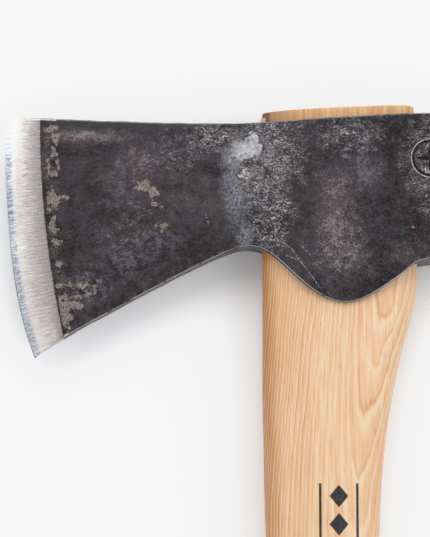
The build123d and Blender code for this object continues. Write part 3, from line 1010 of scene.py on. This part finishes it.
def head_half(shape, grid):
    """Half thickness over the grid: the CAD's, with its facets smoothed and the bevel crowned."""
    columns, rows = grid.shape[:2]
    half = shape.half(grid.reshape(-1, 2)).reshape(columns, rows)
    grind = BEVEL_COLUMNS
    half[0] = 0.0
    cheek = smooth(smooth(half[grind:], 5.0, 0), 3.0, 1)
    cheek[0] = half[grind]
    calm = fade(np.arange(len(cheek)), -1, 6)[:, None]
    half[grind:] = cheek * calm + half[grind:] * (1 - calm)
    from_edge = grid[: grind + 1, :, 0] - shape.edge_x(grid[: grind + 1, :, 1])
    width = np.maximum(from_edge[-1], HONED_WIDTH + 1.0)
    share = np.clip((from_edge - HONED_WIDTH) / (width - HONED_WIDTH), 0, 1)
    half[: grind + 1] = smooth(half[: grind + 1], 2.0, 1) + BEVEL_CROWN * 4 * share * (1 - share)
    half[0] = 0.0
    return half


def forged_skin(shape, points, seed):
    """How far the forged surface swells or sinks at points on a cheek, in millimetres."""
    x, y = points[:, 0], points[:, 1]
    swell = 0.10 * noise_at(points, 22.0, 1, seed) + 0.05 * noise_at(points, 8.0, 1, seed + 5)
    neck = np.exp(-(((x + 24) / 12) ** 2) - ((y - 4) / 22) ** 2)
    pits = (0.02 + 0.11 * neck) * noise_at(points, 2.6, 2, seed + 9)
    top_strip = -0.16 * fade(2.6 - (shape.top_y(x) - y), 0.0, 2.2) * fade(-x, 45.0, 62.0)
    on_cheek = fade(x - shape.grind_x(y), 0.3, 3.5)
    return (swell + pits + top_strip) * on_cheek - SKIN_DEPTH * on_cheek


def touchmark_depth(points):
    """Depth of the struck mark, a ring round a four-pointed star."""
    dx, dy = points[:, 0] - TOUCHMARK[0], points[:, 1] - TOUCHMARK[1]
    radius, turn = np.hypot(dx, dy), np.arctan2(dy, dx)
    ring = np.exp(-(((radius - (TOUCHMARK_R - 0.4)) / 0.36) ** 2))
    wave = np.abs(((turn / (pi / 2) + 0.5) % 1) - 0.5) * 2
    reach = 3.9 * (1 - wave) ** 2 + 1.0
    star = fade(reach - radius, -0.15, 0.35)
    lip = np.exp(-(((radius - (TOUCHMARK_R + 0.25)) / 0.25) ** 2))
    return TOUCHMARK_DEPTH * (np.maximum(ring, 0.8 * star) - 0.25 * lip)


def refine_touchmark(piece):
    """Divides the faces round the touchmark twice, so that the mark is crisp."""
    mesh = bmesh.new()
    mesh.from_mesh(piece.data)
    for reach in (8.2, 7.4):
        edges = []
        for edge in mesh.edges:
            middle = (edge.verts[0].co + edge.verts[1].co) / 2 / MM
            near = hypot(middle.x - TOUCHMARK[0], middle.y - TOUCHMARK[1]) < reach
            if near and middle.z > UPPER_SIDE:
                edges.append(edge)
        bmesh.ops.subdivide_edges(mesh, edges=edges, cuts=1, use_grid_fill=True)
    bmesh.ops.triangulate(mesh, faces=[face for face in mesh.faces if len(face.verts) > 4])
    mesh.to_mesh(piece.data)
    mesh.free()


def strike_touchmark(piece):
    """Sinks the struck mark into the upper cheek."""
    points = vertex_points(piece)
    depth = touchmark_depth(points) * (points[:, 2] > UPPER_SIDE)
    near = np.hypot(points[:, 0] - TOUCHMARK[0], points[:, 1] - TOUCHMARK[1]) < TOUCHMARK_REACH
    points[:, 2] -= depth * near
    set_vertex_points(piece, points)


def cheek_sides(shape, flat, halves):
    """The points of the upper cheek, and of the lower one."""
    sides = []
    for sign, seed in ((1, 3.0), (-1, 41.0)):
        points = np.column_stack([flat, MID + sign * halves])
        points[:, 2] += sign * forged_skin(shape, points, seed) * (halves > 0)
        sides.append(points)
    return sides


def rim_strips(upper, lower):
    """Lines round the rim, from the upper cheek down: (share of the chamfer's width, heights)."""
    depth_up = np.minimum(CHAMFER, CHAMFER_SHARE * upper)
    depth_low = np.minimum(CHAMFER, CHAMFER_SHARE * lower)
    strips = [(out, upper - down * depth_up) for out, down in CHAMFER_PROFILE[1:]]
    wall_top, wall_foot = upper - depth_up, -(lower - depth_low)
    for share in np.linspace(0, 1, WALL_ROWS)[1:-1]:
        strips.append((1.0, wall_top * (1 - share) + wall_foot * share))
    for out, down in reversed(CHAMFER_PROFILE[1:]):
        strips.append((out, -lower + down * depth_low))
    return strips


def build_head(shape):
    """Two cheeks and the rim between them, welded at the cutting edge."""
    inner, outer = head_grid(shape, CHAMFER), head_grid(shape, 0.0)
    half = head_half(shape, inner)
    columns, rows = half.shape
    flat = inner.reshape(-1, 2)
    sides = cheek_sides(shape, flat, half.reshape(-1))
    index = np.arange(columns * rows).reshape(columns, rows)
    faces = []
    for i in range(columns - 1):
        for j in range(rows - 1):
            quad = (index[i, j], index[i + 1, j], index[i + 1, j + 1], index[i, j + 1])
            faces.append(quad)
            faces.append(tuple(columns * rows + v for v in reversed(quad)))

    # The rim runs along the beard, up the poll and back along the top, a little worn
    loop = [*index[:, 0], *index[-1, 1:-1], *index[::-1, -1]]
    inner_loop, outer_loop = flat[loop], outer.reshape(-1, 2)[loop]
    upper, lower = sides[0][loop, 2] - MID, MID - sides[1][loop, 2]
    worn = noise_at(np.column_stack([outer_loop, np.zeros(len(loop))]), 9.0, 2, 77.0) * 0.10
    outward = outer_loop - inner_loop
    outward /= np.maximum(np.linalg.norm(outward, axis=1), 1e-6)[:, None]
    outer_loop = outer_loop - outward * (0.08 + worn)[:, None] * fade(upper, 0.2, 1.5)[:, None]

    vertices = [*sides]
    base = 2 * columns * rows
    ring_indices = [np.array(loop)]
    for number, (out, height) in enumerate(rim_strips(upper, lower)):
        place = inner_loop * (1 - out) + outer_loop * out
        strip = np.column_stack([place, MID + height])
        if out == 1.0:
            dent = noise_at(strip, 6.0, 2, 13.0) * 0.09 * fade(upper, 0.5, 3.0)
            strip[:, :2] -= outward * np.maximum(dent, -0.05)[:, None]
        vertices.append(strip)
        ring_indices.append(base + number * len(loop) + np.arange(len(loop)))
    ring_indices.append(np.array(loop) + columns * rows)
    for above, below in zip(ring_indices[:-1], ring_indices[1:]):
        for i in range(len(loop) - 1):
            faces.append((above[i + 1], above[i], below[i], below[i + 1]))
    return make_object("forged_head", np.concatenate(vertices), faces)


def head_attributes(piece, shape):
    """What the material needs to know about each point of the head."""
    points = vertex_points(piece)
    x, y, z = points.T
    edge_x = shape.edge_x(y)
    lean = np.gradient(smooth(shape.edge[1], 6.0), shape.edge[0])
    store(piece, "from_edge", (x - edge_x) * np.cos(np.arctan(np.interp(y, shape.edge[0], lean))))
    store(piece, "along_edge", y + np.interp(y, shape.edge[0], lean) * (x - edge_x))
    store(piece, "from_grind", x - shape.grind_x(y))
    from_top = shape.top_y(x) - y
    from_foot = y - shape.foot_y(x)
    from_rim = np.minimum(np.minimum(from_top, from_foot), shape.poll - x)
    store(piece, "from_top", from_top)
    store(piece, "from_rim", from_rim)
    height = np.abs(z - MID)
    half = shape.half(points[:, :2])
    on_cheek = height > half - 0.45
    near = from_rim < CHAMFER + 0.05
    chamfer = near & (height > half - CHAMFER - 0.5) & ~(on_cheek & (from_rim > CHAMFER - 0.1))
    store(piece, "on_rim", chamfer.astype(float))
    store(piece, "struck", touchmark_depth(points) / TOUCHMARK_DEPTH * (z > UPPER_SIDE))


# ---- Handle, wedge and staple ----
wood_cad = cad_mesh("handle", "wooden_wedge")


def ring_slope(level):
    """How far a section leans: level along the grip, and slanted like the cuts at both ends."""
    top = TONGUE_SLOPE * float(fade(level, 5.0, 20.0))
    foot = KNOB_SLOPE * float(fade(-level, 185.0, 226.0))
    return top + foot


def section_points(level, slope):
    """The handle's section where y = level + slope * x, without its kerf: a convex outline."""
    found = crossing(wood_cad, (-slope, 1, 0), level)
    flat = [Vector((x, z)) for x, _, z in found]
    kept = [found[i] for i in geometry.convex_hull_2d(flat)]
    return np.array(kept)[:, [0, 2]]


def section_table():
    """Sections from the knob to the tongue: levels, slopes, centres, half sizes and outlines."""
    knob_level = float((wood_cad[0][:, 1] - KNOB_SLOPE * wood_cad[0][:, 0]).min())
    tongue_level = float((wood_cad[0][:, 1] - TONGUE_SLOPE * wood_cad[0][:, 0]).max())
    count = int((tongue_level - knob_level) / RING_STEP)
    levels = np.linspace(knob_level + 2.0, tongue_level - 0.2, count)
    angles = np.arange(AROUND) * 2 * pi / AROUND
    rows = []
    for level in levels:
        slope = ring_slope(level)
        outline = section_points(level, slope)
        low, high = outline.min(0), outline.max(0)
        centre, size = (low + high) / 2, (high - low) / 2
        unit = (outline - centre) / size
        turn = np.arctan2(unit[:, 1], unit[:, 0])
        order = np.argsort(turn)
        radius = np.interp(angles, turn[order], np.hypot(*unit.T)[order], period=2 * pi)
        rows.append((slope, centre[0], *size, *radius))
    table = np.array(rows)
    rear_corners = np.sin(2 * angles) ** 4 * (np.cos(angles) > 0)
    table[:, 4:] *= 1 + TONGUE_SQUARE * np.outer(fade(levels, -12.0, 12.0), rear_corners)
    calm = smooth(table, 2.5)
    calm[:, 4:] = smooth(calm[:, 4:], 1.2, 1)
    calm[:, 0] = table[:, 0]
    return levels, calm, knob_level, tongue_level


def ring(level, row, grow=0.0):
    """One section as points in space, grown outwards by a little."""
    slope, centre, half_x, half_z = row[:4]
    angles = np.arange(AROUND) * 2 * pi / AROUND
    x = centre + (half_x + grow) * row[4:] * np.cos(angles)
    z = MID + (half_z + grow) * row[4:] * np.sin(angles)
    return np.column_stack([x, level + slope * x, z])


def rounded_end(last, slope, way, radius, steps=7):
    """Rings that round an end off and close it towards its middle."""
    rings = []
    middle = last.mean(0)
    spread = last - middle
    reach = np.linalg.norm(spread, axis=1)[:, None]
    for turn in np.linspace(0, pi / 2, steps + 1)[1:]:
        place = middle + spread * (1 - radius * (1 - cos(turn)) / reach)
        place[:, 1] = last[:, 1] + slope * (place[:, 0] - last[:, 0]) + way * radius * sin(turn)
        rings.append(place)
    outer = rings[-1]
    for share in (0.93, 0.84, 0.72, 0.58, 0.42, 0.24, 0.1):
        place = middle + (outer - middle) * share
        place[:, 1] = outer[:, 1] + slope * (place[:, 0] - outer[:, 0])
        rings.append(place)
    return rings


def build_handle(levels, table, knob_level, tongue_level):
    """The handle as one lofted solid, with hand-finished unevenness on the grip."""
    rings = [ring(level, row, -0.05) for level, row in zip(levels, table)]
    for points in rings:
        grip = float(fade(-points[:, 1].mean(), 44.0, 70.0))
        if grip > 0:
            middle = np.array([points[:, 0].mean(), 0, MID])
            away = points * (1, 0, 1) - middle
            away /= np.linalg.norm(away, axis=1)[:, None]
            points -= away * (0.06 + 0.12 * noise_at(points, 26.0, 1, 5.0))[:, None] * grip
    foot = rounded_end(rings[0], KNOB_SLOPE, -1, END_ROUND)
    top = rounded_end(rings[-1], TONGUE_SLOPE, 1, TONGUE_ROUND, 4)
    rings[-1][:, 1] = rings[-1][:, 1] - 0.1
    return lofted("hickory_handle", [*reversed(foot), *rings, *top][::-1], 50.0)


def build_eye_cutter(levels, table):
    """The eye's volume: the handle's sections with a hair's clearance, past both ends of the head."""
    picked = [i for i, level in enumerate(levels) if level > HEAD_LOW[1] - 2][::2]
    rings = [ring(levels[i], table[i], 0.04) for i in picked]
    above = rings[-1].copy()
    above[:, 1] += 8.0
    return lofted("eye_cutter", [*rings, above][::-1])


def build_wedge(grow=0.0):
    """The wedge: sawn flat, thin at its foot, and out in front of the tongue above the head."""
    low, high = (np.array(corner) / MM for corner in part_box("wooden_wedge"))
    rings = []
    top = high[1] + (KERF_OVERSHOOT if grow else 0.0)
    rear = high[0] - 0.55 + grow
    uneven = 0.0 if grow else 0.03
    for y in np.linspace(WEDGE_FOOT, top, WEDGE_RINGS):
        share = (y - WEDGE_FOOT) / (WEDGE_HEAD - WEDGE_FOOT)
        half = WEDGE_FOOT_HALF + (WEDGE_HEAD_HALF - WEDGE_FOOT_HALF) * share - 0.04 + grow
        above = float(fade(y, 20.4, 21.2))
        front = low[0] + 0.28 - WEDGE_STICKS_OUT * above - grow
        corner = min(0.3, half * 0.5)
        x = np.concatenate([
            [front, front + corner],
            np.linspace(front + corner + 0.5, rear - corner - 0.5, WEDGE_SIDE_POINTS),
            [rear - corner, rear],
        ])
        z = np.full(len(x), half)
        z[0] = z[-1] = half - corner
        upper, lower = np.column_stack([x, z]), np.column_stack([x, -z])[::-1]
        around = np.concatenate([upper, lower])
        lean = TONGUE_SLOPE * float(fade(y, 5.0, 20.0))
        points = np.column_stack([around[:, 0], y + lean * (around[:, 0] - rear), MID + around[:, 1]])
        tip = (1 - fade(points[:, 0], low[0], low[0] + 3.4)) * float(fade(y, 21.0, high[1]))
        points[:, 1] -= WEDGE_TIP_DROP * tip
        points[:, 2] += uneven * noise_at(points, 3.0, 2, 21.0) * np.sign(around[:, 1])
        rings.append(points)
    return lofted("wedge_blank" if grow else "sawn_wedge", rings, 30.0)


def build_staple(grow=0.0):
    """A bar with three pointed legs, turned across the wedge, its corners worn round."""
    name = "staple_blank" if grow else "driven_staple"
    piece = bpy.data.objects.new(name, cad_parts["steel_staple"].data.copy())
    piece.data.materials.clear()
    bpy.context.scene.collection.objects.link(piece)
    weld = piece.modifiers.new("weld", "WELD")
    weld.merge_threshold = 1e-6
    if grow:
        thicken = piece.modifiers.new("grow", "DISPLACE")
        thicken.strength = grow * MM
        thicken.mid_level = 0.0
    else:
        flatten = piece.modifiers.new("flatten", "DECIMATE")
        flatten.decimate_type = "DISSOLVE"
        flatten.angle_limit = radians(1.0)
        worn = piece.modifiers.new("worn", "BEVEL")
        worn.width = 0.22 * MM
        worn.segments = 3
        worn.limit_method = "ANGLE"
    apply_modifiers(piece)
    piece.data.shade_smooth()
    piece.data.set_sharp_from_angle(angle=radians(40))
    return piece


def dress(piece, node, material):
    """Puts a piece in the place of a CAD node, inside the CAD model's box, with its finish."""
    low, high = (np.array(corner) / MM for corner in cad_box)
    set_vertex_points(piece, np.clip(vertex_points(piece), low, high))
    piece.data.materials.clear()
    piece.data.materials.append(material)
    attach(piece, "root")
    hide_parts(node)


head_shape = HeadShape()
sections = section_table()

handle = build_handle(*sections)
eye_cutter = build_eye_cutter(*sections[:2])
wedge, wedge_blank = build_wedge(), build_wedge(0.03)
staple, staple_blank = build_staple(), build_staple(0.03)
cut(handle, wedge_blank, staple_blank)
cut(wedge, staple_blank)

head = build_head(head_shape)
refine_touchmark(head)
strike_touchmark(head)
cut(head, eye_cutter)
head_attributes(head, head_shape)
for tool in (eye_cutter, wedge_blank, staple_blank):
    bpy.data.objects.remove(tool)
for piece, angle in ((head, 35), (handle, 50), (wedge, 30)):
    piece.data.shade_smooth()
    piece.data.set_sharp_from_angle(angle=radians(angle))

dress(head, "axe_head", forged_steel())
dress(handle, "handle", hickory())
dress(wedge, "wooden_wedge", wedge_wood())
dress(staple, "steel_staple", staple_steel())


# ---- Floor, light and camera ----
VIEW_TARGET = Vector((-40.8, -27.9, 13.5)) * MM
VIEW_DISTANCE = 0.700
VIEW_TILT = radians(5.8)  # the camera leans this far from straight above, towards the knob
VIEW_HEIGHT = 0.1772  # what the picture takes in at that distance
WORLD_BRIGHT_SIDE = (0.2, 0.98, 0.0)
WORLD_NEAR, WORLD_FAR = 1.36, 1.62  # the room's brightness away from that side and towards it
WORLD_BY_HEIGHT = [(0.0, 0.30), (0.35, 0.85), (0.80, 1.1), (0.93, 0.25), (1.0, 0.05)]


def make_floor():
    size = 4.0
    mesh = bpy.data.meshes.new("floor")
    corners = [(-size, -size, 0), (size, -size, 0), (size, size, 0), (-size, size, 0)]
    mesh.from_pydata(corners, [], [(0, 1, 2, 3)])
    floor = bpy.data.objects.new("floor", mesh)
    floor.data.materials.append(floor_paper())
    bpy.context.scene.collection.objects.link(floor)


def area_light(name, azimuth, elevation, distance, size, power):
    """A square light that faces the hatchet. Azimuth is measured from +X towards +Y."""
    light = bpy.data.lights.new(name, "AREA")
    light.size = size
    light.energy = power
    lamp = bpy.data.objects.new(name, light)
    a, e = radians(azimuth), radians(elevation)
    way = Vector((cos(a) * cos(e), sin(a) * cos(e), sin(e)))
    lamp.location = VIEW_TARGET + way * distance
    lamp.rotation_euler = way.to_track_quat("Z", "Y").to_euler()
    bpy.context.scene.collection.objects.link(lamp)
    return lamp


def make_lights():
    """A key that casts shadows, a softbox, and two panels that only show in the steel's gloss."""
    area_light("key", 98, 57, 1.3, 0.7, 5.0)
    area_light("softbox", 5, 42, 1.3, 1.0, 3.4)
    area_light("glint", 160, 49, 1.2, 0.26, 1.1).visible_diffuse = False
    area_light("panel", 212, 60, 1.3, 1.0, 1.1).visible_diffuse = False


def make_world():
    """A room that is brighter towards one side, and darker low down and straight above."""
    world = bpy.data.worlds.new("studio")
    world.use_nodes = True
    room = Nodes(world.node_tree)
    direction = room.node("ShaderNodeTexCoord", {}, "Generated")
    bright_side = {0: direction, 1: WORLD_BRIGHT_SIDE}
    share = room.node("ShaderNodeVectorMath", bright_side, "Value", operation="DOT_PRODUCT")
    sides = {"Value": share, "From Min": -1.0, "To Min": WORLD_NEAR, "To Max": WORLD_FAR}
    ramp = room.tree.nodes.new("ShaderNodeValToRGB")
    stops = ramp.color_ramp.elements
    stops.remove(stops[0])
    for height, level in WORLD_BY_HEIGHT[:-1]:
        stops.new(height).color = (level, level, level, 1.0)
    stops[-1].position = WORLD_BY_HEIGHT[-1][0]
    stops[-1].color = (*(WORLD_BY_HEIGHT[-1][1],) * 3, 1.0)
    room.feed(ramp.inputs[0], room.split(direction)[2])
    strength = room.node("ShaderNodeMapRange", sides) * Value(room, ramp.outputs[0])
    background = room.tree.nodes["Background"]
    background.inputs[0].default_value = (0.97, 0.98, 1.0, 1.0)
    room.feed(background.inputs[1], strength)
    bpy.context.scene.world = world


def soften_whites():
    """Standard colours, but the brightest whites roll off as they do on film."""
    settings = bpy.context.scene.view_settings
    settings.view_transform = "Standard"
    settings.use_curve_mapping = True
    mapping = settings.curve_mapping
    brightest = FILM_CURVE[-1][0]
    mapping.white_level = (brightest, brightest, brightest)
    curve = mapping.curves[3]
    for scene_light, display_light in FILM_CURVE[1:-1]:
        curve.points.new(scene_light / brightest, display_light).handle_type = "VECTOR"
    mapping.update()


def make_camera():
    camera = bpy.data.objects.new("camera", bpy.data.cameras.new("camera"))
    camera.data.sensor_width = 36.0
    camera.data.lens = 36.0 * VIEW_DISTANCE / VIEW_HEIGHT
    camera.data.clip_start = 0.01
    camera.data.clip_end = 20.0
    back = Vector((0, -sin(VIEW_TILT), cos(VIEW_TILT)))
    camera.location = VIEW_TARGET + back * VIEW_DISTANCE
    camera.rotation_euler = back.to_track_quat("Z", "Y").to_euler()
    bpy.context.scene.collection.objects.link(camera)
    bpy.context.scene.camera = camera


make_floor()
make_lights()
make_world()
soften_whites()
make_camera()
